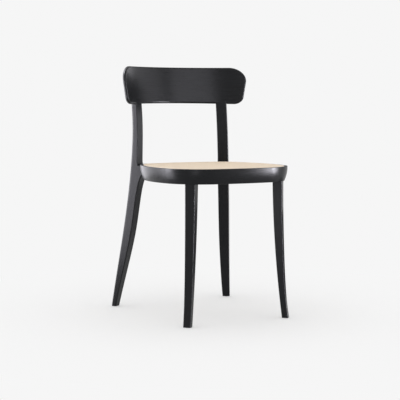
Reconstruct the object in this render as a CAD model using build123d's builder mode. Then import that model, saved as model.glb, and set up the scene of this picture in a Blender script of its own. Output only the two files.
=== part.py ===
from build123d import *
from math import atan2, cos, degrees, radians, sin, sqrt, tan
import os

os.makedirs("parts", exist_ok=True)

# Millimetres, +Z up, the sitter faces -Y. The origin is on the floor, under the middle of the chair.
# "left" is the -X side. Reach is a distance from the upright axis through the middle of the seat.

# Seat ring seen from above: wide front, side and rear arcs, blended by corner arcs
seat_height = 455.0
seat_width = 420.0
seat_front_reach = 183.0
seat_rear_reach = 225.0
front_arc_radius = 700.0
side_arc_radius = 370.0
rear_arc_radius = 560.0
front_corner_radius = 130.0
rear_corner_radius = 77.0

# Seat ring section: a bowl-shaped outer face, a spline groove near the rim and a bed for the cane
ring_height = 43.8
ring_width = 42.0
ring_bowl = 9.5
ring_rim_round = 0.6
ring_edge_round = 1.5
groove_inset = 10.0
groove_width = 5.0
groove_depth = 8.0

# Cane seat and the reed spline that holds it in the groove
cane_thickness = 2.0
cane_lip_thickness = 1.6
cane_lip_depth = 6.5
cane_columns = 12
cane_opening_share = 0.56
cane_border = 4.0
spline_depth = 6.0
spline_crown = 0.8
spline_round = 1.2
spline_clearance = 0.15

# Dowels across the four joints of the ring
ring_dowel_diameter = 8.0
ring_dowel_length = 40.0
ring_dowel_spacing = 15.0
ring_dowel_drop = 24.0
dowel_chamfer = 0.8
dowel_clearance = 0.1

# Rear legs: one curved piece from foot to backrest, set out in an upright plane
rear_angle = 34.6
rear_foot_reach = 361.0
rear_shin_reach = 321.0
rear_shin_height = 215.0
rear_seat_reach = 285.8
rear_waist_reach = 281.8
rear_waist_height = 545.0
rear_top_reach = 289.2
rear_knee_reach = 310.0
bracket_reach = 266.5
haunch_slope = 0.8
shin_slope = 0.22
rear_foot_depth = 17.0
rear_knee_depth = 29.0
rear_knee_height = 262.0
rear_post_depth = 21.0
rear_top_depth = 20.0
rear_foot_width = 23.8
rear_foot_lean = 2.8
rear_shin_width = 32.5
rear_leg_width = 34.5
rear_leg_round = 2.5
rear_back_round = 6.5
rear_top_lean = 8.5

# Haunch that carries the seat ring on the rear leg
housing_depth = 7.0
haunch_height = 27.0
haunch_drop = 105.0
haunch_ledge = 6.0
ledge_fall = 6.0
ledge_lip = 0.6

# Front legs: sabre curve, tenoned into the ring from below
front_angle = 48.9
front_leg_inset = 10.5
front_foot_flare = 20.0
front_shin_flare = 5.0
front_shin_height = 176.0
front_shin_depth = 22.3
front_foot_slope = 0.17
front_top_depth = 28.5
front_foot_depth = 18.9
front_top_width = 30.5
front_foot_width = 22.4
front_foot_lean = 2.5
front_leg_round = 2.0
tenon_diameter = 20.0
tenon_length = 24.0
tenon_clearance = 0.15

# Backrest: a curved board on top of the two rear legs
overall_height = 757.0
backrest_height = 118.0
backrest_bottom_arch = 3.5
backrest_width = 448.0
backrest_taper = 9.6
backrest_bow = 116.5
backrest_back_easing = 3.0
backrest_thickness = 20.0
backrest_recline = 9.0
backrest_top_corner = 41.0
backrest_bottom_corner = 26.0
backrest_round = 5.0
stub_height = 5.0
stub_inlay = 12.0
stub_bevel = 4.5

# Dowels between posts and backrest
post_dowel_diameter = 8.0
post_dowel_length = 44.0
post_dowel_spacing = 15.0

# Bolts that pull the rear legs against the ring, with their washers and threaded inserts
bolt_diameter = 6.0
bolt_head_diameter = 10.0
bolt_head_height = 6.0
bolt_socket = 5.0
bolt_socket_depth = 3.0
bolt_spacing = 15.5
bolt_drop = 15.0
bolt_length = 40.0
bolt_clearance = 0.25
bolt_chamfer = 0.6
thread_clearance = 0.05
counterbore_diameter = 14.0
counterbore_depth = 12.0
washer_diameter = 12.0
washer_thickness = 1.5
insert_diameter = 10.0
insert_length = 17.0
insert_inset = 1.0

# Screws that lock the front tenons, driven from inside the ring
lock_screw_diameter = 4.5
lock_screw_head = 9.0
lock_screw_head_height = 3.2
lock_screw_point = 5.0
lock_screw_tip = 0.8
lock_screw_slot = 1.2
lock_screw_cross = 5.0
lock_screw_length = 25.0
lock_screw_drop = 31.0
lock_screw_recess = 6.0
lock_screw_clearance = 0.1

# Glides let into the feet and nailed there
glide_height = 4.0
glide_proud = 1.2
glide_diameter = 13.0
glide_round = 0.8
nail_diameter = 2.4
nail_length = 18.0
nail_head_diameter = 6.0
nail_head_height = 1.2
nail_recess = 2.0
nail_point = 0.5
nail_clearance = 0.05

# Places worked out from the driving dimensions
rear_turn = radians(rear_angle)
front_turn = radians(front_angle)
ring_bottom = seat_height - ring_height
backrest_bottom = overall_height - backrest_height
backrest_radius = ((backrest_width / 2) ** 2 + backrest_bow**2) / (2 * backrest_bow)
backrest_back_radius = backrest_radius - backrest_back_easing
post_joint = backrest_bottom - stub_height
backrest_lean = tan(radians(backrest_recline))
post_top_reach = rear_top_reach - rear_top_depth
post_top_x = post_top_reach * sin(rear_turn) - rear_top_lean * cos(rear_turn)
post_sag = backrest_radius - sqrt(backrest_radius**2 - post_top_x**2)
# the chair's rearmost point is a rear foot or the top of the backrest
foot_extent = (
    (rear_foot_reach - rear_back_round) * cos(rear_turn)
    + (rear_foot_width / 2 - rear_foot_lean - rear_back_round) * sin(rear_turn)
    + rear_back_round
)
backrest_extent = (
    post_top_reach * cos(rear_turn)
    + rear_top_lean * sin(rear_turn)
    + post_sag
    + backrest_thickness
    + backrest_lean * (backrest_height - stub_inlay)
    - backrest_round * (backrest_lean + sqrt(1 + backrest_lean**2) - 1)
)
seat_axis_y = (seat_front_reach - max(foot_extent, backrest_extent)) / 2


def blend_centre(first, first_reach, second, second_reach):
    # centre of the corner arc between two wide arcs whose centres are first and second
    span = second - first
    along = (first_reach**2 - second_reach**2 + span.length**2) / (2 * span.length)
    unit = span.normalized()
    offset = sqrt(first_reach**2 - along**2)
    return first + unit * along + Vector(-unit.Y, unit.X) * offset


def heading(start, end):
    return degrees(atan2(end.Y - start.Y, end.X - start.X))


front_centre = Vector(0, seat_axis_y - seat_front_reach + front_arc_radius)
side_centre = Vector(seat_width / 2 - side_arc_radius, seat_axis_y)
rear_centre = Vector(0, seat_axis_y + seat_rear_reach - rear_arc_radius)
front_corner = blend_centre(
    front_centre,
    front_arc_radius - front_corner_radius,
    side_centre,
    side_arc_radius - front_corner_radius,
)
rear_corner = blend_centre(
    side_centre,
    side_arc_radius - rear_corner_radius,
    rear_centre,
    rear_arc_radius - rear_corner_radius,
)
front_blend = heading(front_centre, front_corner)
side_front_blend = heading(side_centre, front_corner)
side_rear_blend = heading(side_centre, rear_corner)
rear_blend = heading(rear_centre, rear_corner)

# Each quarter of the outline as arcs: centre, radius, first and last angle
front_quarter = [
    (front_centre, front_arc_radius, -90, front_blend),
    (front_corner, front_corner_radius, front_blend, side_front_blend),
    (side_centre, side_arc_radius, side_front_blend, 0),
]
rear_quarter = [
    (side_centre, side_arc_radius, 0, side_rear_blend),
    (rear_corner, rear_corner_radius, side_rear_blend, rear_blend),
    (rear_centre, rear_arc_radius, rear_blend, 90),
]


def draw_arcs(arcs, inset):
    for centre, radius, first, last in arcs:
        CenterArc(centre, radius - inset, first, last - first)


def seat_face(inset):
    with BuildLine() as outline:
        draw_arcs(front_quarter + rear_quarter, inset)
        mirror(about=Plane.YZ)
    make_face(outline.edges())


def outline_reach(direction, corner_centre, corner_radius):
    # distance from the seat axis to the outline along a direction that leaves through a corner arc
    centre = corner_centre - Vector(0, seat_axis_y)
    along = centre.dot(direction)
    return along + sqrt(corner_radius**2 - (centre.length**2 - along**2))


# Directions out of the seat axis towards the right-hand legs, and along their broad faces
up = Vector(0, 0, 1)
seat_axis = Vector(0, seat_axis_y)
rear_out = Vector(sin(rear_turn), cos(rear_turn))
rear_along = rear_out.cross(up)
front_out = Vector(sin(front_turn), -cos(front_turn))
rear_ring_reach = outline_reach(rear_out, rear_corner, rear_corner_radius)
front_ring_reach = outline_reach(front_out, front_corner, front_corner_radius)


def upright_plane(outward):
    # sketch plane through the seat axis: x is reach, y is height
    return Plane(origin=seat_axis, x_dir=outward, z_dir=outward.cross(up))


def width_plane(outward):
    # sketch plane across a leg: x runs along its broad face, y is height
    return Plane(origin=seat_axis, x_dir=outward.cross(up), z_dir=-outward)


def place(outward, reach, offset, height):
    return seat_axis + outward * reach + outward.cross(up) * offset + up * height


def mirrored(source):
    # left-hand twin of a right-hand piece
    with BuildPart() as twin:
        mirror(source, about=Plane.YZ)
    return twin


def finish(builder, label):
    builder.part.label = label
    export_step(builder.part, f"parts/{label}.step")


# Rear leg blank: side view cut one way, width view cut the other, then the long edges rounded
rear_top = backrest_bottom + stub_inlay
haunch_reach = rear_ring_reach - housing_depth
ledge_height = seat_height + haunch_ledge
ledge_start = rear_ring_reach + ledge_lip
haunch_bottom = seat_height - haunch_height
bracket_height = seat_height - haunch_drop
post_front = rear_waist_reach - rear_post_depth
knee_front = rear_knee_reach - rear_knee_depth
rear_foot_front = rear_foot_reach - rear_foot_depth
ledge_middle = haunch_ledge * (1 - sqrt(0.5))
with BuildPart() as rear_leg_blank:
    with BuildSketch(upright_plane(rear_out).offset(-rear_leg_width)):
        with BuildLine():
            back_edge = Spline(
                (rear_foot_reach, glide_proud),
                (rear_shin_reach, rear_shin_height),
                (rear_seat_reach, seat_height),
                (rear_waist_reach, rear_waist_height),
                (rear_top_reach, rear_top),
            )
            front_edge = Spline(
                (post_top_reach, rear_top),
                (post_front, rear_waist_height),
                (post_front, ledge_height),
                tangents=[(-backrest_lean, -1), (0, -1)],
            )
            Line(back_edge @ 1, front_edge @ 0)
            ThreePointArc(
                front_edge @ 1,
                (post_front - ledge_middle, seat_height + ledge_middle),
                (post_front - haunch_ledge, seat_height),
            )
            Polyline(
                (post_front - haunch_ledge, seat_height),
                (haunch_reach, seat_height),
                (haunch_reach, haunch_bottom),
            )
            shin_edge = Spline(
                (haunch_reach, haunch_bottom),
                (bracket_reach, bracket_height),
                (knee_front, rear_knee_height),
                (rear_foot_front, glide_proud),
                tangents=[(haunch_slope, -1), (shin_slope, -1)],
            )
            Line(shin_edge @ 1, back_edge @ 0)
        make_face()
    extrude(amount=2 * rear_leg_width)
    with BuildSketch(width_plane(rear_out).offset(-2 * rear_foot_reach)):
        with BuildLine():
            outer_edge = Spline(
                (rear_foot_width / 2 + rear_foot_lean, glide_proud),
                (rear_shin_width / 2, rear_shin_height),
                (rear_leg_width / 2, ring_bottom),
                (rear_leg_width / 2 - rear_top_lean, rear_top),
            )
            inner_edge = Spline(
                (-rear_foot_width / 2 + rear_foot_lean, glide_proud),
                (-rear_shin_width / 2, rear_shin_height),
                (-rear_leg_width / 2, ring_bottom),
                (-rear_leg_width / 2 - rear_top_lean, rear_top),
            )
            Line(outer_edge @ 0, inner_edge @ 0)
            Line(outer_edge @ 1, inner_edge @ 1)
        make_face()
    extrude(amount=4 * rear_foot_reach, mode=Mode.INTERSECT)
    nose = rear_leg_blank.faces().sort_by(Axis(seat_axis, rear_out))[0]
    back = rear_leg_blank.faces().sort_by(lambda face: face.normal_at().dot(rear_out))[-1]
    ends = rear_leg_blank.faces().sort_by(Axis.Z)
    kept = nose.edges() + back.edges() + ends[0].edges() + ends[-1].edges()
    arrises = rear_leg_blank.edges().filter_by(
        lambda edge: edge not in kept and abs((edge % 0.5).dot(rear_along)) < 0.5
    )
    fillet(arrises, rear_leg_round)
    back = rear_leg_blank.faces().sort_by(lambda face: face.normal_at().dot(rear_out))[-1]
    ends = rear_leg_blank.faces().sort_by(Axis.Z)
    end_edges = ends[0].edges() + ends[-1].edges()
    fillet(back.edges().filter_by(lambda edge: edge not in end_edges), rear_back_round)
    # between the ring and the post the ledge falls to both sides
    with BuildSketch(width_plane(rear_out).offset(-ledge_start)):
        with BuildLine():
            Polyline(
                (rear_leg_width, seat_height - 2 * ledge_fall),
                (0, seat_height),
                (-rear_leg_width, seat_height - 2 * ledge_fall),
                (-rear_leg_width, seat_height + haunch_ledge),
                (rear_leg_width, seat_height + haunch_ledge),
                close=True,
            )
        make_face()
    extrude(amount=ledge_start - post_front, mode=Mode.SUBTRACT)

# Holes of the rear leg: inserts for the bolts, dowels at the top, a glide and its nail at the foot
bolt_height = seat_height - bolt_drop
bolt_seat = rear_ring_reach - ring_width + counterbore_depth
bolt_offsets = (-bolt_spacing / 2, bolt_spacing / 2)
rear_foot = place(rear_out, rear_foot_reach - rear_foot_depth / 2, rear_foot_lean, 0)
post_middle = rear_top_reach - rear_top_depth / 2
dowel_offsets = (-rear_top_lean - post_dowel_spacing / 2, -rear_top_lean + post_dowel_spacing / 2)


def bolt_planes(reach):
    places = [place(rear_out, reach, offset, bolt_height) for offset in bolt_offsets]
    return [Plane(origin=bolt_place, z_dir=rear_out) for bolt_place in places]


post_dowel_spots = [place(rear_out, post_middle, offset, post_joint) for offset in dowel_offsets]
post_dowel_spots_left = [Vector(-spot.X, spot.Y, spot.Z) for spot in post_dowel_spots]


def post_dowel_holes(spots):
    with Locations(*spots):
        Cylinder(
            post_dowel_diameter / 2 + dowel_clearance,
            post_dowel_length + 2 * dowel_clearance,
            mode=Mode.SUBTRACT,
        )


def foot_holes(foot):
    # a round seat for the glide, then the hole for its nail
    with Locations(foot + up * glide_proud):
        Cylinder(
            glide_diameter / 2 + nail_clearance,
            glide_height - glide_proud,
            align=(Align.CENTER, Align.CENTER, Align.MIN),
            mode=Mode.SUBTRACT,
        )
    with Locations(foot + up * glide_height):
        Cylinder(
            nail_diameter / 2 + nail_clearance,
            nail_length,
            align=(Align.CENTER, Align.CENTER, Align.MIN),
            mode=Mode.SUBTRACT,
        )


with BuildPart() as rear_leg_right:
    add(rear_leg_blank.part)
    split(bisect_by=Plane.XY.offset(post_joint), keep=Keep.BOTTOM)
    with Locations(*bolt_planes(haunch_reach)):
        Cylinder(
            insert_diameter / 2 + dowel_clearance,
            insert_inset + insert_length,
            align=(Align.CENTER, Align.CENTER, Align.MIN),
            mode=Mode.SUBTRACT,
        )
    post_dowel_holes(post_dowel_spots)
    foot_holes(rear_foot)
finish(rear_leg_right, "rear_leg_right")
rear_leg_left = mirrored(rear_leg_right.part)
finish(rear_leg_left, "rear_leg_left")

# Front leg: sabre curve in its own upright plane, with a round tenon on top
front_leg_reach = front_ring_reach - front_leg_inset
tenon_reach = front_leg_reach - front_top_depth / 2
front_foot_reach = front_leg_reach + front_foot_flare
front_shin_reach = front_leg_reach + front_shin_flare
front_foot = place(front_out, front_foot_reach - front_foot_depth / 2, -front_foot_lean, 0)
lock_height = seat_height - lock_screw_drop
lock_seat = front_ring_reach - ring_width + lock_screw_recess
lock_plane = Plane(origin=place(front_out, lock_seat, 0, lock_height), z_dir=front_out)
with BuildPart() as front_leg_right:
    with BuildSketch(upright_plane(front_out).offset(-front_top_width)):
        with BuildLine():
            outer_curve = Spline(
                (front_leg_reach, ring_bottom),
                (front_shin_reach, front_shin_height),
                (front_foot_reach, glide_proud),
                tangents=[(0, -1), (front_foot_slope, -1)],
            )
            inner_curve = Spline(
                (front_leg_reach - front_top_depth, ring_bottom),
                (front_shin_reach - front_shin_depth, front_shin_height),
                (front_foot_reach - front_foot_depth, glide_proud),
            )
            Line(outer_curve @ 0, inner_curve @ 0)
            Line(outer_curve @ 1, inner_curve @ 1)
        make_face()
    extrude(amount=2 * front_top_width)
    with BuildSketch(width_plane(front_out).offset(-2 * front_foot_reach)):
        with BuildLine():
            Polyline(
                (front_foot_width / 2 - front_foot_lean, glide_proud),
                (front_top_width / 2, ring_bottom),
                (-front_top_width / 2, ring_bottom),
                (-front_foot_width / 2 - front_foot_lean, glide_proud),
                close=True,
            )
        make_face()
    extrude(amount=4 * front_foot_reach, mode=Mode.INTERSECT)
    ends = front_leg_right.faces().sort_by(Axis.Z)
    flat_edges = ends[0].edges() + ends[-1].edges()
    fillet(front_leg_right.edges().filter_by(lambda edge: edge not in flat_edges), front_leg_round)
    with BuildSketch(Plane(origin=place(front_out, tenon_reach, 0, ring_bottom))):
        Circle(tenon_diameter / 2)
    extrude(amount=tenon_length)
    chamfer(front_leg_right.faces().sort_by(Axis.Z)[-1].edges(), dowel_chamfer)
    with Locations(lock_plane):
        Cylinder(
            lock_screw_diameter / 2 + lock_screw_clearance,
            2 * lock_screw_length,
            mode=Mode.SUBTRACT,
        )
    foot_holes(front_foot)
finish(front_leg_right, "front_leg_right")
front_leg_left = mirrored(front_leg_right.part)
finish(front_leg_left, "front_leg_left")

# Dowel places of the seat ring: two at each of the four joints
dowel_inset = (ring_bowl + ring_width) / 2
dowel_middle = seat_height - ring_dowel_drop
dowel_heights = (dowel_middle - ring_dowel_spacing / 2, dowel_middle + ring_dowel_spacing / 2)
front_joint_y = seat_axis_y - seat_front_reach + dowel_inset
rear_joint_y = seat_axis_y + seat_rear_reach - dowel_inset
side_joint_x = seat_width / 2 - dowel_inset
ring_dowel_planes = []
for height in dowel_heights:
    ring_dowel_planes.append(Plane(origin=(0, front_joint_y, height), z_dir=(1, 0, 0)))
    ring_dowel_planes.append(Plane(origin=(0, rear_joint_y, height), z_dir=(1, 0, 0)))
    ring_dowel_planes.append(Plane(origin=(side_joint_x, seat_axis_y, height), z_dir=(0, 1, 0)))
    ring_dowel_planes.append(Plane(origin=(-side_joint_x, seat_axis_y, height), z_dir=(0, 1, 0)))
front_start = Plane(
    origin=(0, seat_axis_y - seat_front_reach, seat_height), x_dir=(0, 1, 0), z_dir=(1, 0, 0)
)
side_start = Plane(origin=(seat_width / 2, seat_axis_y, seat_height), x_dir=(-1, 0, 0), z_dir=(0, 1, 0))
groove_inner = groove_inset + groove_width


def ring_sweep(arcs, start):
    # section drawn as inset and height from the rim, swept along one quarter of the outline
    with BuildLine(Plane.XY.offset(seat_height)) as rim:
        draw_arcs(arcs, 0)
    with BuildSketch(start) as section:
        with BuildLine():
            Polyline(
                (0, 0),
                (groove_inset, 0),
                (groove_inset, -groove_depth),
                (groove_inner, -groove_depth),
                (groove_inner, -cane_thickness),
                (ring_width, -cane_thickness),
                (ring_width, -ring_height),
                (ring_bowl, -ring_height),
            )
            TangentArc((0, 0), (ring_bowl, -ring_height), tangent=(0, -1))
        make_face()
        fillet(section.vertices().sort_by(Axis.X)[0], ring_rim_round)
        fillet(section.vertices().group_by(Axis.Y)[0], ring_edge_round)
        fillet(section.vertices().sort_by(Axis((0, 0), (1, 1)))[-1], ring_edge_round)
    sweep(sections=section.sketch, path=rim.wire())


def ring_dowel_holes():
    with Locations(*ring_dowel_planes):
        Cylinder(
            ring_dowel_diameter / 2 + dowel_clearance,
            ring_dowel_length + 2 * dowel_clearance,
            mode=Mode.SUBTRACT,
        )


# Seat ring, front quarters: blind holes for the leg tenons and their lock screws
with BuildPart() as seat_ring_front_right:
    ring_sweep(front_quarter, front_start)
    ring_dowel_holes()
    with Locations(place(front_out, tenon_reach, 0, ring_bottom)):
        Cylinder(
            tenon_diameter / 2 + tenon_clearance,
            tenon_length + tenon_clearance,
            align=(Align.CENTER, Align.CENTER, Align.MIN),
            mode=Mode.SUBTRACT,
        )
    with Locations(lock_plane):
        Cylinder(
            lock_screw_diameter / 2 + lock_screw_clearance,
            lock_screw_length,
            align=(Align.CENTER, Align.CENTER, Align.MIN),
            mode=Mode.SUBTRACT,
        )
        Cylinder(
            lock_screw_head / 2 + lock_screw_clearance,
            ring_width,
            align=(Align.CENTER, Align.CENTER, Align.MAX),
            mode=Mode.SUBTRACT,
        )
finish(seat_ring_front_right, "seat_ring_front_right")
seat_ring_front_left = mirrored(seat_ring_front_right.part)
finish(seat_ring_front_left, "seat_ring_front_left")

# Seat ring, rear quarters: housed for the haunch and bored for the bolts
with BuildPart() as seat_ring_rear_right:
    ring_sweep(rear_quarter, side_start)
    ring_dowel_holes()
    add(rear_leg_blank.part, mode=Mode.SUBTRACT)
    with Locations(*bolt_planes(bolt_seat)):
        Cylinder(
            bolt_diameter / 2 + bolt_clearance,
            ring_width,
            align=(Align.CENTER, Align.CENTER, Align.MIN),
            mode=Mode.SUBTRACT,
        )
        Cylinder(
            counterbore_diameter / 2,
            ring_width,
            align=(Align.CENTER, Align.CENTER, Align.MAX),
            mode=Mode.SUBTRACT,
        )
finish(seat_ring_rear_right, "seat_ring_rear_right")
seat_ring_rear_left = mirrored(seat_ring_rear_right.part)
finish(seat_ring_rear_left, "seat_ring_rear_left")

with BuildPart() as ring_dowels:
    with Locations(*ring_dowel_planes):
        Cylinder(ring_dowel_diameter / 2, ring_dowel_length)
    chamfer(ring_dowels.edges().filter_by(GeomType.CIRCLE), dowel_chamfer)
finish(ring_dowels, "ring_dowels")

# Openings of the cane seat: a plain grid of squares, of which those that fit whole inside the border stay
cane_pitch = (seat_width - 2 * groove_inner) / cane_columns
cane_opening = cane_opening_share * cane_pitch
cane_rows = int((seat_front_reach + seat_rear_reach - 2 * groove_inner) / cane_pitch)
cane_middle = seat_axis_y + (seat_rear_reach - seat_front_reach) / 2
with BuildSketch() as cane_field:
    seat_face(groove_inner + cane_border)
with BuildSketch() as cane_grid:
    with Locations((0, cane_middle)):
        with GridLocations(cane_pitch, cane_pitch, cane_columns, cane_rows):
            Rectangle(cane_opening, cane_opening)
cane_openings = [
    opening
    for opening in cane_grid.faces()
    if all(cane_field.face().is_inside(corner.center()) for corner in opening.vertices())
]

# Cane seat: a taut sheet on the ring's bed, turned down into the groove
lip_inset = groove_inner - cane_lip_thickness
with BuildPart() as cane_webbing:
    with BuildSketch(Plane.XY.offset(seat_height)):
        seat_face(lip_inset)
        add(cane_openings, mode=Mode.SUBTRACT)
    extrude(amount=-cane_thickness)
    with BuildSketch(Plane.XY.offset(seat_height)) as lip:
        seat_face(lip_inset)
        with BuildSketch(mode=Mode.PRIVATE) as bed:
            seat_face(groove_inner)
        add(bed.sketch, mode=Mode.SUBTRACT)
    extrude(amount=-cane_lip_depth)
finish(cane_webbing, "cane_webbing")

# Reed spline: a closed hoop pressed into the groove outside the cane's lip
with BuildPart() as cane_spline:
    with BuildSketch(Plane.XY.offset(seat_height + spline_crown)):
        seat_face(groove_inset + spline_clearance)
        with BuildSketch(mode=Mode.PRIVATE) as inside:
            seat_face(lip_inset - spline_clearance)
        add(inside.sketch, mode=Mode.SUBTRACT)
    extrude(amount=-spline_depth)
    fillet(cane_spline.faces().sort_by(Axis.Z)[-1].edges(), spline_round)
finish(cane_spline, "cane_spline")

# Stub of the backrest that carries on each post above the joint, bevelled at the back into the board
stub_rise = rear_top - post_joint
bevel_plane = Plane(
    origin=place(rear_out, rear_top_reach - stub_bevel, 0, rear_top),
    z_dir=rear_out * stub_rise + up * stub_bevel,
)
with BuildPart() as post_stub:
    add(rear_leg_blank.part)
    split(bisect_by=Plane.XY.offset(post_joint), keep=Keep.TOP)
    split(bisect_by=bevel_plane, keep=Keep.BOTTOM)
post_stub_left = mirrored(post_stub.part)

# Dowels between posts and backrest
with BuildPart() as backrest_dowels:
    with Locations(*post_dowel_spots, *post_dowel_spots_left):
        Cylinder(post_dowel_diameter / 2, post_dowel_length)
    chamfer(backrest_dowels.edges().filter_by(GeomType.CIRCLE), dowel_chamfer)
finish(backrest_dowels, "backrest_dowels")

# Backrest: plan arcs raised along the recline, then cut to the front outline
post_front_top = place(rear_out, post_top_reach, -rear_top_lean, rear_top)
face_middle = post_front_top.Y + post_sag - backrest_lean * (rear_top - backrest_bottom)
back_middle = face_middle + backrest_thickness
half_blank = backrest_width / 2 + backrest_thickness
face_end = face_middle - backrest_radius + sqrt(backrest_radius**2 - half_blank**2)
back_end = back_middle - backrest_back_radius + sqrt(backrest_back_radius**2 - half_blank**2)
bottom_half = backrest_width / 2 - backrest_height * tan(radians(backrest_taper))
with BuildPart() as backrest:
    with BuildSketch(Plane.XY.offset(backrest_bottom)):
        with BuildLine():
            face_arc = ThreePointArc((-half_blank, face_end), (0, face_middle), (half_blank, face_end))
            back_arc = ThreePointArc((-half_blank, back_end), (0, back_middle), (half_blank, back_end))
            Line(face_arc @ 0, back_arc @ 0)
            Line(face_arc @ 1, back_arc @ 1)
        make_face()
    extrude(amount=backrest_height * sqrt(1 + backrest_lean**2), dir=(0, backrest_lean, 1))
    with BuildSketch(Plane.XZ.offset(-2 * seat_width)) as front_view:
        with BuildLine():
            bottom_edge = ThreePointArc(
                (-bottom_half, backrest_bottom),
                (0, backrest_bottom + backrest_bottom_arch),
                (bottom_half, backrest_bottom),
            )
            Polyline(
                bottom_edge @ 1,
                (backrest_width / 2, overall_height),
                (-backrest_width / 2, overall_height),
                bottom_edge @ 0,
            )
        make_face()
        fillet(front_view.vertices().group_by(Axis.Y)[-1], backrest_top_corner)
        fillet(front_view.vertices().group_by(Axis.Y)[0], backrest_bottom_corner)
    extrude(amount=4 * seat_width, mode=Mode.INTERSECT)
    broad_faces = backrest.faces().sort_by(SortBy.AREA)[-2:]
    fillet(broad_faces[0].edges() + broad_faces[1].edges(), backrest_round)
    add(post_stub.part)
    add(post_stub_left.part)
    post_dowel_holes(post_dowel_spots + post_dowel_spots_left)
finish(backrest, "backrest")

# Bolts, washers and threaded inserts of the right rear leg, then their twins
washer_seat = bolt_seat - washer_thickness
with BuildPart() as right_bolts:
    with Locations(*bolt_planes(washer_seat)):
        Cylinder(bolt_diameter / 2, bolt_length, align=(Align.CENTER, Align.CENTER, Align.MIN))
        Cylinder(bolt_head_diameter / 2, bolt_head_height, align=(Align.CENTER, Align.CENTER, Align.MAX))
    chamfer(right_bolts.edges().group_by(Axis(seat_axis, rear_out))[-1], bolt_chamfer)
    for socket_plane in bolt_planes(washer_seat - bolt_head_height):
        with BuildSketch(socket_plane):
            RegularPolygon(bolt_socket / 2, 6, major_radius=False)
        extrude(amount=bolt_socket_depth, mode=Mode.SUBTRACT)
with BuildPart() as rear_leg_bolts:
    add(right_bolts.part)
    mirror(right_bolts.part, about=Plane.YZ)
finish(rear_leg_bolts, "rear_leg_bolts")

with BuildPart() as right_washers:
    for washer_plane in bolt_planes(washer_seat):
        with BuildSketch(washer_plane):
            Circle(washer_diameter / 2)
            Circle(bolt_diameter / 2 + bolt_clearance, mode=Mode.SUBTRACT)
    extrude(amount=washer_thickness)
with BuildPart() as bolt_washers:
    add(right_washers.part)
    mirror(right_washers.part, about=Plane.YZ)
finish(bolt_washers, "bolt_washers")

with BuildPart() as right_inserts:
    for insert_plane in bolt_planes(haunch_reach + insert_inset):
        with BuildSketch(insert_plane):
            Circle(insert_diameter / 2)
            Circle(bolt_diameter / 2 + thread_clearance, mode=Mode.SUBTRACT)
    extrude(amount=insert_length)
with BuildPart() as rear_leg_inserts:
    add(right_inserts.part)
    mirror(right_inserts.part, about=Plane.YZ)
finish(rear_leg_inserts, "rear_leg_inserts")

# Screws that lock the front tenons
with BuildPart() as right_screw:
    with Locations(lock_plane):
        Cylinder(
            lock_screw_diameter / 2,
            lock_screw_length - lock_screw_point,
            align=(Align.CENTER, Align.CENTER, Align.MIN),
        )
        Cylinder(lock_screw_head / 2, lock_screw_head_height, align=(Align.CENTER, Align.CENTER, Align.MAX))
    with Locations(lock_plane.offset(lock_screw_length - lock_screw_point)):
        Cone(
            lock_screw_diameter / 2,
            lock_screw_tip / 2,
            lock_screw_point,
            align=(Align.CENTER, Align.CENTER, Align.MIN),
        )
    with BuildSketch(lock_plane.offset(-lock_screw_head_height)):
        Rectangle(lock_screw_slot, lock_screw_cross)
        Rectangle(lock_screw_cross, lock_screw_slot)
    extrude(amount=lock_screw_slot, mode=Mode.SUBTRACT)
with BuildPart() as front_leg_screws:
    add(right_screw.part)
    mirror(right_screw.part, about=Plane.YZ)
finish(front_leg_screws, "front_leg_screws")

# Glides and their nails, one under each foot
feet = {"rear_right": rear_foot, "front_right": front_foot}


def glide_at(foot):
    with BuildPart(Plane(origin=foot)) as glide:
        Cylinder(glide_diameter / 2, glide_height, align=(Align.CENTER, Align.CENTER, Align.MIN))
        fillet(glide.edges().group_by(Axis.Z)[0], glide_round)
        Cylinder(
            nail_head_diameter / 2 + nail_clearance,
            nail_recess,
            align=(Align.CENTER, Align.CENTER, Align.MIN),
            mode=Mode.SUBTRACT,
        )
        Cylinder(
            nail_diameter / 2 + nail_clearance,
            glide_height,
            align=(Align.CENTER, Align.CENTER, Align.MIN),
            mode=Mode.SUBTRACT,
        )
    return glide


for foot_name, foot in feet.items():
    glide = glide_at(foot)
    finish(glide, f"glide_{foot_name}")
    finish(mirrored(glide.part), f"glide_{foot_name.replace('right', 'left')}")

nail_head_bottom = nail_recess - nail_head_height
nail_tip = glide_height + nail_length - nail_clearance
with BuildPart() as right_nails:
    for foot in feet.values():
        with BuildSketch(Plane(origin=foot).offset(nail_head_bottom)):
            Circle(nail_head_diameter / 2)
        extrude(amount=nail_head_height)
        with BuildSketch(Plane(origin=foot).offset(nail_recess)):
            Circle(nail_diameter / 2)
        extrude(amount=nail_tip - nail_recess - nail_diameter)
        with BuildSketch(Plane(origin=foot).offset(nail_tip - nail_diameter)):
            Circle(nail_diameter / 2)
        with BuildSketch(Plane(origin=foot).offset(nail_tip)):
            Circle(nail_point / 2)
        loft()
with BuildPart() as glide_nails:
    add(right_nails.part)
    mirror(right_nails.part, about=Plane.YZ)
finish(glide_nails, "glide_nails")
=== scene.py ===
import random
from math import cos, pi, radians, sin

import bpy
import numpy as np
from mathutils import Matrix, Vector
from mathutils.geometry import convex_hull_2d


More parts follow.
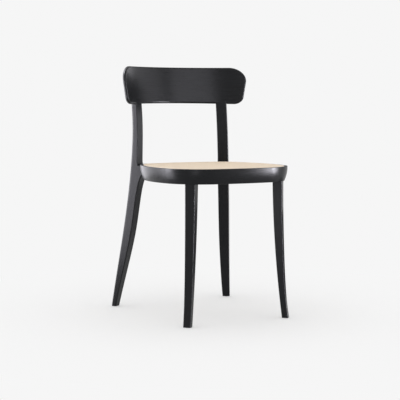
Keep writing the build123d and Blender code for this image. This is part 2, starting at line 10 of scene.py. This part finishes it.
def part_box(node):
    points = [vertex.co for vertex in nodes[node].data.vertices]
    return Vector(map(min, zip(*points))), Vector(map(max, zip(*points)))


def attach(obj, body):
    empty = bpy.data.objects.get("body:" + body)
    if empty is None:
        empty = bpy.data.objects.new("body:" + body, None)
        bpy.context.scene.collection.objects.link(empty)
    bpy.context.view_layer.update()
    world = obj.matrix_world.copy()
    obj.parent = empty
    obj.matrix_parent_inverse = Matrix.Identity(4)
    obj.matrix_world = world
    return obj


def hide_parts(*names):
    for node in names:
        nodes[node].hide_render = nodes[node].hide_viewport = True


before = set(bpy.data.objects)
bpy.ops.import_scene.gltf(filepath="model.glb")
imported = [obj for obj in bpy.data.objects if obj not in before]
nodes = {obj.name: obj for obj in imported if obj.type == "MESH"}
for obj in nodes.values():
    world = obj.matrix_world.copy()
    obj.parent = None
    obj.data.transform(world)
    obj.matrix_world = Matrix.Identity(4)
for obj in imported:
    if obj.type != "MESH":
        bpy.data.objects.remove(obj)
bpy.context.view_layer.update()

print("frame:", len(nodes), "nodes")

# lengths are in metres; places that several pieces share are read from the frame
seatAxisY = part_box("seat_ring_front_left")[1].y  # the front and rear quarters of the ring meet here
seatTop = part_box("seat_ring_front_left")[1].z
ringRadius = 0.2  # about that of the seat ring, for grain and fibres that run round it


class Knob:
    # one socket of a shader tree; sums and products of knobs add Math nodes

    def __init__(self, tree, socket=None):
        self.tree = tree
        self.socket = socket

    def node(self, kind, inputs=None, output=0, stops=None, **settings):
        made = self.tree.nodes.new("ShaderNode" + kind)
        for name, value in settings.items():
            setattr(made, name, value)
        if stops:
            for element, (place, value) in zip(made.color_ramp.elements, stops):
                element.position = place
                element.color = (value, value, value, 1)
        for name, value in (inputs or {}).items():
            if isinstance(value, Knob):
                self.tree.links.new(value.socket, made.inputs[name])
            else:
                made.inputs[name].default_value = value
        return Knob(self.tree, made.outputs[output] if made.outputs else None)

    def math(self, operation, first, second=0.0):
        return self.node("Math", {0: first, 1: second}, operation=operation)

    def __add__(self, other):
        return self.math("ADD", self, other)

    def __sub__(self, other):
        return self.math("SUBTRACT", self, other)

    def __rsub__(self, other):
        return self.math("SUBTRACT", other, self)

    def __mul__(self, other):
        return self.math("MULTIPLY", self, other)

    __radd__ = __add__
    __rmul__ = __mul__

    def parts(self):
        # x, y and z of a vector
        return [self.node("SeparateXYZ", {0: self}, output=axis) for axis in range(3)]

    def noise(self, scale=1.0, detail=2.0, roughness=0.5):
        # noise at the place that this knob gives
        settings = {"Vector": self, "Scale": scale, "Detail": detail, "Roughness": roughness}
        return self.node("TexNoise", settings)

    def ramp(self, low, high):
        return self.node("ValToRGB", {"Fac": self}, stops=(low, high))

    def blend(self, first, second):
        # colour between two others, this knob being the share of the second
        return self.node("Mix", {0: self, 6: first, 7: second}, output=2, data_type="RGBA")

    def bump(self, strength, depth):
        # this knob as a height
        return self.node("Bump", {"Strength": strength, "Distance": depth, "Height": self})


def newMaterial(name):
    material = bpy.data.materials.new(name)
    material.use_nodes = True
    material.node_tree.nodes.clear()
    return material, Knob(material.node_tree)


def surface(tree, inputs):
    tree.node("OutputMaterial", {"Surface": tree.node("BsdfPrincipled", inputs)})


def rgba(red, green, blue):
    return (red, green, blue, 1.0)


def joined(tree, x, y, z):
    return tree.node("CombineXYZ", {0: x, 1: y, 2: z})


def objectPlace(tree):
    return tree.node("TexCoord", output="Object")


def roundBend(tree, x, y, centreY, radius):
    # length round an upright axis, and distance from it
    behind = y - centreY
    along = tree.math("ARCTAN2", x, behind) * radius
    return along, tree.math("SQRT", x * x + behind * behind)


# black-stained ash under satin lacquer: fine streaks along the grain, open pores between them
ash = {
    "dark": rgba(0.0030, 0.0033, 0.0041),
    "light": rgba(0.0084, 0.0090, 0.0110),
    "streaksAcross": 620.0,  # per metre
    "streaksAlong": 13.0,
    "streakDetail": 4.0,
    "streakRoughness": 0.62,
    "streakEdges": ((0.32, 0.0), (0.70, 1.0)),
    "poresAcross": 1250.0,
    "poresAlong": 34.0,
    "poreDetail": 1.0,
    "poreEdges": ((0.30, 1.0), (0.42, 0.0)),
    "roughness": 0.27,
    "roughnessSpread": 0.10,
    "topDulling": 0.50,  # faces that look up are rubbed dull
    "topEdges": ((0.86, 0.0), (0.97, 1.0)),
    "specular": 0.17,
    "bump": 0.12,
    "bumpDepth": 0.0003,
    "streakRise": 0.35,  # against a pore's depth of 1
}


def ashMaterial(name, arcCentre=None, arcRadius=1.0):
    material, tree = newMaterial(name)
    x, y, z = objectPlace(tree).parts()
    if arcCentre is None:  # grain runs up the piece
        across, depth, along = x, y, z
    else:  # grain runs round the bend
        along, depth = roundBend(tree, x, y, arcCentre, arcRadius)
        across = z

    def stretched(perAcross, perAlong):
        return joined(tree, across * perAcross, depth * perAcross, along * perAlong)

    streaks = stretched(ash["streaksAcross"], ash["streaksAlong"]).noise(
        detail=ash["streakDetail"], roughness=ash["streakRoughness"]
    )
    pores = stretched(ash["poresAcross"], ash["poresAlong"]).noise(detail=ash["poreDetail"])
    grain = streaks.ramp(*ash["streakEdges"])
    openPores = pores.ramp(*ash["poreEdges"])
    facingUp = tree.node("NewGeometry", output="Normal").parts()[2]
    rubbed = facingUp.ramp(*ash["topEdges"])
    uneven = (grain + openPores) * (ash["roughnessSpread"] / 2)
    height = grain * ash["streakRise"] - openPores
    surface(tree, {
        "Base Color": (grain * (1 - openPores)).blend(ash["dark"], ash["light"]),
        "Roughness": ash["roughness"] + uneven + ash["topDulling"] * rubbed,
        "Specular IOR Level": ash["specular"],
        "Normal": height.bump(ash["bump"], ash["bumpDepth"]),
    })
    return material


backBend = {"radius": 0.275, "thickness": 0.020}  # the backrest's bow
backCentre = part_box("backrest")[1].y - backBend["thickness"] - backBend["radius"]
straightAsh = ashMaterial("ashStraight")
ringAsh = ashMaterial("ashRing", seatAxisY, ringRadius)
boardAsh = ashMaterial("ashBoard", backCentre, backBend["radius"])

# cane strands: pale dry straw, each strand in its own tone, darker at the joints of the stem
cane = {
    "pale": rgba(0.88, 0.765, 0.625),
    "deep": rgba(0.73, 0.59, 0.43),
    "fibresAcross": 3200.0,  # per metre
    "fibresAlong": 26.0,
    "fibreShift": 40.0,  # sets the fibres of one strand apart from the next
    "jointsAlong": 9.0,
    "jointShift": 90.0,
    "jointEdges": ((0.66, 0.0), (0.74, 1.0)),
    "fibreShare": 0.34,  # how far each takes the colour from pale to deep
    "toneShare": 0.34,
    "jointShare": 0.35,
    "roughness": 0.66,
    "roughnessSpread": 0.2,
    "specular": 0.2,
    "bump": 0.22,
    "bumpDepth": 0.0001,
}


def caneMaterial():
    material, tree = newMaterial("caneStrands")
    strand = tree.node("Attribute", output="Vector", attribute_name="strand")
    lengthwise, across, tone = strand.parts()
    fibres = joined(
        tree,
        lengthwise * cane["fibresAlong"],
        across * cane["fibresAcross"],
        tone * cane["fibreShift"],
    ).noise()
    joints = joined(tree, lengthwise * cane["jointsAlong"], tone * cane["jointShift"], 0.0).noise()
    darkJoints = joints.ramp(*cane["jointEdges"])
    share = fibres * cane["fibreShare"] + tone * cane["toneShare"] + darkJoints * cane["jointShare"]
    surface(tree, {
        "Base Color": share.blend(cane["pale"], cane["deep"]),
        "Roughness": cane["roughness"] + fibres * cane["roughnessSpread"],
        "Specular IOR Level": cane["specular"],
        "Normal": fibres.bump(cane["bump"], cane["bumpDepth"]),
    })
    return material


# reed spline: the cane's colours, fibres round the ring
reed = {
    "fibresAcross": 2400.0,  # per metre
    "fibresAlong": 30.0,
    "fibreDetail": 3.0,
    "fibreEdges": ((0.3, 0.0), (0.75, 1.0)),
    "roughness": 0.5,
    "roughnessSpread": 0.2,
    "bump": 0.25,
    "bumpDepth": 0.0001,
}


def reedMaterial():
    material, tree = newMaterial("reed")
    x, y, z = objectPlace(tree).parts()
    along, depth = roundBend(tree, x, y, seatAxisY, ringRadius)
    fibres = joined(
        tree,
        along * reed["fibresAlong"],
        depth * reed["fibresAcross"],
        z * reed["fibresAcross"],
    ).noise(detail=reed["fibreDetail"])
    surface(tree, {
        "Base Color": fibres.ramp(*reed["fibreEdges"]).blend(cane["pale"], cane["deep"]),
        "Roughness": reed["roughness"] + fibres * reed["roughnessSpread"],
        "Normal": fibres.bump(reed["bump"], reed["bumpDepth"]),
    })
    return material


# beech of the hidden dowels
beech = {
    "dark": rgba(0.46, 0.29, 0.16),
    "light": rgba(0.62, 0.42, 0.25),
    "flecks": 500.0,  # per metre
    "roughness": 0.55,
    "roughnessSpread": 0.15,
}


def beechMaterial():
    material, tree = newMaterial("beechDowel")
    flecks = objectPlace(tree).noise(scale=beech["flecks"])
    surface(tree, {
        "Base Color": flecks.blend(beech["dark"], beech["light"]),
        "Roughness": beech["roughness"] + flecks * beech["roughnessSpread"],
    })
    return material


# zinc-plated steel of bolts, screws and nails
zinc = {
    "dark": rgba(0.50, 0.50, 0.48),
    "light": rgba(0.66, 0.66, 0.63),
    "spots": 420.0,  # per metre
    "spotDetail": 3.0,
    "roughness": 0.28,
    "roughnessSpread": 0.2,
}


def zincMaterial():
    material, tree = newMaterial("zincSteel")
    spots = objectPlace(tree).noise(scale=zinc["spots"], detail=zinc["spotDetail"])
    surface(tree, {
        "Base Color": spots.blend(zinc["dark"], zinc["light"]),
        "Metallic": 1.0,
        "Roughness": zinc["roughness"] + spots * zinc["roughnessSpread"],
    })
    return material


# black nylon of the glides
nylon = {
    "dark": rgba(0.010, 0.010, 0.011),
    "light": rgba(0.020, 0.020, 0.021),
    "specks": 1600.0,  # per metre
    "roughness": 0.5,
    "roughnessSpread": 0.15,
    "bump": 0.2,
    "bumpDepth": 0.0001,
}


def nylonMaterial():
    material, tree = newMaterial("blackNylon")
    specks = objectPlace(tree).noise(scale=nylon["specks"])
    surface(tree, {
        "Base Color": specks.blend(nylon["dark"], nylon["light"]),
        "Roughness": nylon["roughness"] + specks * nylon["roughnessSpread"],
        "Normal": specks.bump(nylon["bump"], nylon["bumpDepth"]),
    })
    return material


# finishes by node, or by the first letters of several nodes
legs = ("rear_leg_left", "rear_leg_right", "front_leg_left", "front_leg_right")
dowels = ("ring_dowels", "backrest_dowels")
hardware = ("rear_leg_bolts", "bolt_washers", "rear_leg_inserts", "front_leg_screws", "glide_nails")
finishes = {
    "backrest": boardAsh,
    "seat_ring": ringAsh,
    "cane_spline": reedMaterial(),
    "glide_": nylonMaterial(),
    **dict.fromkeys(legs, straightAsh),
    **dict.fromkeys(dowels, beechMaterial()),
    **dict.fromkeys(hardware, zincMaterial()),
}


def finishOf(name):
    # the longest entry that the node's name starts with
    fitting = [key for key in finishes if name.startswith(key)]
    return finishes[max(fitting, key=len)] if fitting else None


for name, piece in nodes.items():
    finish = finishOf(name)
    if finish:  # the cane sheet has none: woven strands replace it below
        piece.data.materials.clear()
        piece.data.materials.append(finish)
print("finishes set")

# woven cane: pairs both ways, slanting strands between them, octagonal holes
weave = {
    "pitch": 0.0127,
    "pairHalf": 0.0014,  # a pair's strands stand this far either side of its line
    "pairWidth": 0.0020,
    "slantWidth": 0.0023,
    "slantSteps": 6,  # points of a slanting strand in one pitch
    "thickness": 0.0006,
    "undersideShare": 0.46,  # half the flat underside, as a share of a strand's width
    "edgeRise": 0.05,  # a strand's edges above its middle, as a share of its thickness
    "sink": 1.55,  # depth of the weave's middle below the ring's top, in thicknesses
    "crossReach": 0.0032,  # a pair's strand lies level again this far from a crossing
    "bendReach": 0.0009,  # a strand starts to turn down this far from the rim
    "bendDrop": 0.0011,
    "clearBends": 3,  # nothing is woven nearer to the rim than this many bends
    "lipDepth": 0.0040,
    "lipLean": 0.0002,
    "lipInset": 0.0006,
    "shortestPitches": 2,
    "widthSpread": 0.07,
    "driftSpread": 0.00012,
    "seed": 11,
}


def caneOutline():
    # rim of the cane sheet, drawn in to the middle of its turned-down lip
    flat = [v.co.xy for v in nodes["cane_webbing"].data.vertices]
    centre = np.array([0.0, seatAxisY])
    rays = np.array([flat[i] for i in convex_hull_2d(flat)]) - centre
    lengths = np.linalg.norm(rays, axis=1, keepdims=True)
    return centre + rays * (1 - weave["lipInset"] / lengths)


def span(outline, origin, direction):
    # where a line enters and leaves the outline, as distances along it; None if that is too short
    side = np.array([-direction[1], direction[0]])
    offsets = (outline - origin) @ side
    travels = (outline - origin) @ direction
    hits = []
    for i in range(len(outline)):
        a, b = offsets[i - 1], offsets[i]
        if (a < 0) != (b < 0):
            share = a / (a - b)
            hits.append(travels[i - 1] + share * (travels[i] - travels[i - 1]))
    shortest = weave["shortestPitches"] * weave["pitch"]
    if len(hits) < 2 or max(hits) - min(hits) < shortest:
        return None
    return min(hits), max(hits)


class CaneMesh:
    def __init__(self):
        self.points = []
        self.marks = []
        self.faces = []
        self.random = random.Random(weave["seed"])

    def strand(self, path, width):
        # path holds x, y, z rows; the section is flat below and crowned above
        tone = self.random.random()
        width *= 1 + weave["widthSpread"] * self.random.uniform(-1, 1)
        halfThick = weave["thickness"] / 2
        underside = weave["undersideShare"] * width
        edge = weave["edgeRise"] * weave["thickness"]
        section = [
            (-underside, -halfThick),
            (underside, -halfThick),
            (width / 2, edge),
            (0.0, halfThick),
            (-width / 2, edge),
        ]
        path = np.array(path)
        steps = np.gradient(path, axis=0)
        steps /= np.linalg.norm(steps, axis=1, keepdims=True)
        flat = path[-1] - path[0]
        sideways = np.cross((0, 0, 1), flat / np.linalg.norm(flat))
        lengths = np.concatenate([[0], np.cumsum(np.linalg.norm(np.diff(path, axis=0), axis=1))])
        first = len(self.points)
        count = len(section)
        for place, step, length in zip(path, steps, lengths):
            upward = np.cross(step, sideways)
            for across, rise in section:
                self.points.append(place + across * sideways + rise * upward)
                self.marks.append((length, across, tone))
        for ring in range(len(path) - 1):
            for k in range(count):
                a = first + ring * count + k
                b = first + ring * count + (k + 1) % count
                self.faces.append((a, b, b + count, a + count))
        last = first + (len(path) - 1) * count
        self.faces.append(tuple(first + k for k in reversed(range(count))))
        self.faces.append(tuple(last + k for k in range(count)))


def wovenPath(origin, direction, ends, heights, level):
    # heights are (distance, rise) along the line; both ends turn down into the groove
    enter, leave = ends
    bend, lean = weave["bendReach"], weave["lipLean"]
    bendDrop, lipDrop = -weave["bendDrop"], -weave["lipDepth"]
    clear = weave["clearBends"] * bend
    rows = [(enter - lean, lipDrop), (enter, bendDrop), (enter + bend, 0.0)]
    rows += [(s, rise) for s, rise in heights if enter + clear < s < leave - clear]
    rows += [(leave - bend, 0.0), (leave, bendDrop), (leave + lean, lipDrop)]
    return [(*(origin + s * direction), level + rise) for s, rise in rows]


def weaveCane():
    outline = caneOutline()
    pitch, half, thick = weave["pitch"], weave["pairHalf"], weave["thickness"]
    level = seatTop - weave["sink"] * thick
    low, high = outline.min(0), outline.max(0)
    centre = (low + high) / 2
    reach = int((high - low).max() / 2 / pitch) + 2  # lines either side of the middle, past the rim
    lines = [i * pitch for i in range(-reach, reach + 1)]
    cloth = CaneMesh()

    def lineAt(direction, shift):
        side = np.array([-direction[1], direction[0]])
        drift = cloth.random.uniform(-1, 1) * weave["driftSpread"]
        origin = centre + side * (shift + drift)
        return origin, span(outline, origin, direction)

    def pairs(direction):
        # over one strand and under the other of each pair that crosses
        direction = np.array(direction)
        for line in lines:
            for member in (-1, 1):
                origin, ends = lineAt(direction, line + member * half)
                if ends is None:
                    continue
                rise = member * thick / 2
                crossReach = weave["crossReach"]
                wave = ((-crossReach, 0.0), (-half, -rise), (half, rise), (crossReach, 0.0))
                heights = [(crossing + s, height) for crossing in lines for s, height in wave]
                cloth.strand(wovenPath(origin, direction, ends, heights, level), weave["pairWidth"])

    def slants(direction, sign):
        # over the pairs one way and under those the other way
        direction = np.array(direction) / np.sqrt(2)
        steps = weave["slantSteps"]
        for k in range(-2 * reach, 2 * reach):
            origin, ends = lineAt(direction, (k + 0.5) * pitch / np.sqrt(2))
            if ends is None:
                continue
            heights = []
            for i in range(-reach * steps, reach * steps + 1):
                travel = (i * pitch / steps - origin[0] + centre[0]) / direction[0]
                heights.append((travel, sign * thick * cos(2 * pi * i / steps)))
            cloth.strand(wovenPath(origin, direction, ends, heights, level), weave["slantWidth"])

    pairs((1, 0))
    pairs((0, 1))
    slants((1, 1), 1)
    slants((1, -1), -1)
    mesh = bpy.data.meshes.new("wovenCane")
    mesh.from_pydata([tuple(p) for p in cloth.points], [], cloth.faces)
    mark = mesh.attributes.new("strand", "FLOAT_VECTOR", "POINT")
    mark.data.foreach_set("vector", np.array(cloth.marks, np.float32).ravel())
    mesh.polygons.foreach_set("use_smooth", [True] * len(mesh.polygons))
    mesh.materials.append(caneMaterial())
    mesh.update()
    piece = bpy.data.objects.new("woven_cane", mesh)
    bpy.context.scene.collection.objects.link(piece)
    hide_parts("cane_webbing")
    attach(piece, "root")
    print("cane woven:", len(mesh.vertices), "points")


weaveCane()

# stage: pale floor that fades into a white background
stage = {
    "white": rgba(0.921, 0.921, 0.921),
    "floor": rgba(0.90, 0.90, 0.90),
    "halfSize": 30.0,
    "fadeFrom": 0.3,  # from the chair's middle
    "fadeTo": 1.0,
    "ambient": 0.92,
    "nearGlow": 0.3,  # share of the white right under the chair, which lightens its shadow
}


def stagePlane(name, corners, material):
    mesh = bpy.data.meshes.new(name)
    mesh.from_pydata(corners, [], [(0, 1, 2, 3)])
    mesh.materials.append(material)
    plane = bpy.data.objects.new(name, mesh)
    bpy.context.scene.collection.objects.link(plane)
    return plane


def seenDirectly(tree):
    # 1 for rays from the camera, mirrors and glass
    rays = ("Is Camera Ray", "Is Glossy Ray", "Is Transmission Ray")
    return tree.math("MINIMUM", sum(tree.node("LightPath", output=ray) for ray in rays), 1.0)


def buildFloor():
    material, tree = newMaterial("paleFloor")
    x, y, _ = objectPlace(tree).parts()
    away = tree.math("SQRT", x * x + y * y)
    fade = tree.node(
        "MapRange",
        {"Value": away, "From Min": stage["fadeFrom"], "From Max": stage["fadeTo"]},
        interpolation_type="SMOOTHSTEP",
    )
    share = stage["nearGlow"] + fade * (1 - stage["nearGlow"])
    lit = tree.node("BsdfDiffuse", {"Color": stage["floor"]})
    glow = tree.node("Emission", {"Color": stage["white"], "Strength": 1.0})
    mixed = tree.node("MixShader", {0: share * seenDirectly(tree), 1: lit, 2: glow})
    tree.node("OutputMaterial", {"Surface": mixed})
    half = stage["halfSize"]
    corners = [(-half, -half, 0), (half, -half, 0), (half, half, 0), (-half, half, 0)]
    stagePlane("floor", corners, material)


def buildWorld():
    world = bpy.data.worlds.new("studio")
    world.use_nodes = True
    world.node_tree.nodes.clear()
    tree = Knob(world.node_tree)
    ambient = tree.node("Background", {"Color": rgba(1, 1, 1), "Strength": stage["ambient"]})
    white = tree.node("Background", {"Color": stage["white"], "Strength": 1.0})
    mixed = tree.node("MixShader", {0: seenDirectly(tree), 1: ambient, 2: white})
    tree.node("OutputWorld", {"Surface": mixed})
    bpy.context.scene.world = world


# lamps: one large soft box overhead, and panels that only show in the gloss
softBoxes = {
    "overhead": {
        "place": (0.0, 0.0, 3.0), "aim": (0, 0, 0),
        "width": 3.0, "height": 3.0, "watts": 14.0,
    },
    "leftPanel": {
        "place": (-1.0, 0.39, 0.845), "aim": (0, 0.39, 0.845),
        "width": 0.7, "height": 1.61, "watts": 29.0,
    },
    "leftKey": {
        "place": (-1.14, 0.40, 0.60), "aim": (-0.2, -0.14, 0.44),
        "width": 0.20, "height": 0.6, "watts": 12.0,
    },
    "rearPanel": {
        "place": (-0.7, 1.60, 0.80), "aim": (-0.2, 0, 0.45),
        "width": 2.0, "height": 1.6, "watts": 22.0,
    },
    "rightStrip": {
        "place": (1.5, -1.25, 0.30), "aim": (0.1, -0.22, 0.45),
        "width": 0.5, "height": 0.6, "watts": 68.0,
    },
    "rightHigh": {
        "place": (1.9, -0.6, 1.35), "aim": (0, 0.1, 0.7),
        "width": 1.6, "height": 0.8, "watts": 6.0,
    },
    "frontHigh": {
        "place": (0.1, -2.6, 1.50), "aim": (0, 0.15, 0.7),
        "width": 3.0, "height": 0.8, "watts": 34.0,
    },
    "frontLow": {
        "place": (-1.15, -1.40, 0.14), "aim": (0.1, -0.1, 0.14),
        "width": 0.45, "height": 0.26, "watts": 1.8,
    },
    "sidePanel": {
        "place": (0.60, 0.40, 0.7), "aim": (-0.2, 0.22, 0.7),
        "width": 0.25, "height": 0.6, "watts": 0.9,
    },
    "rearTop": {
        "place": (-0.69, 0.78, 2.04), "aim": (-0.18, 0.18, 0.46),
        "width": 0.8, "height": 0.8, "watts": 45.0,
    },
}
panelTint = (0.96, 0.945, 1.03)  # slightly cool, as daylight through white cloth


def buildLights():
    for name, box in softBoxes.items():
        lightsAll = name == "overhead"
        light = bpy.data.lights.new(name, "AREA")
        light.shape = "RECTANGLE"
        light.size, light.size_y = box["width"], box["height"]
        light.energy = box["watts"]
        if not lightsAll:
            light.color = panelTint
        lamp = bpy.data.objects.new(name, light)
        lamp.location = box["place"]
        aim = Vector(box["aim"]) - lamp.location
        lamp.rotation_euler = aim.to_track_quat("-Z", "Y").to_euler()
        lamp.visible_camera = False
        lamp.visible_diffuse = lightsAll
        bpy.context.scene.collection.objects.link(lamp)


# a dark card low on the right, out of the picture: only the gloss of the front legs shows it
darkCard = {
    "place": (0.58, 0.03),
    "facing": (0.0, -0.12),
    "width": 0.40,
    "height": 0.28,
    "tone": rgba(0.05, 0.05, 0.05),
}


def buildCard():
    material, tree = newMaterial("darkCard")
    matt = tree.node("BsdfDiffuse", {"Color": darkCard["tone"]})
    tree.node("OutputMaterial", {"Surface": matt})
    foot = Vector((*darkCard["place"], 0.0))
    facing = (Vector((*darkCard["facing"], 0.0)) - foot).normalized()
    half = Vector((-facing.y, facing.x, 0.0)) * darkCard["width"] / 2
    rise = Vector((0.0, 0.0, darkCard["height"]))
    corners = [foot - half, foot + half, foot + half + rise, foot - half + rise]
    card = stagePlane("darkCard", corners, material)
    card.visible_camera = False
    card.visible_diffuse = False
    card.visible_shadow = False


# camera: from the front left, level with the backrest's lower edge
viewpoint = {
    "azimuth": -28.0,
    "pivotBehindSeat": 0.095,
    "distance": 3.583,
    "height": 0.640,
    "pitchDown": 4.72,
    "lens": 104.56,
    "farClip": 200.0,
}


def buildCamera():
    turn = radians(viewpoint["azimuth"])
    pivotY = seatAxisY + viewpoint["pivotBehindSeat"]
    camera = bpy.data.cameras.new("camera")
    camera.lens = viewpoint["lens"]
    camera.clip_end = viewpoint["farClip"]
    rig = bpy.data.objects.new("camera", camera)
    away = viewpoint["distance"]
    rig.location = (away * sin(turn), pivotY - away * cos(turn), viewpoint["height"])
    rig.rotation_euler = (radians(90 - viewpoint["pitchDown"]), 0, turn)
    bpy.context.scene.collection.objects.link(rig)
    bpy.context.scene.camera = rig


buildFloor()
buildWorld()
buildLights()
buildCard()
buildCamera()
bpy.context.scene.view_settings.view_transform = "Standard"
print("stage set")
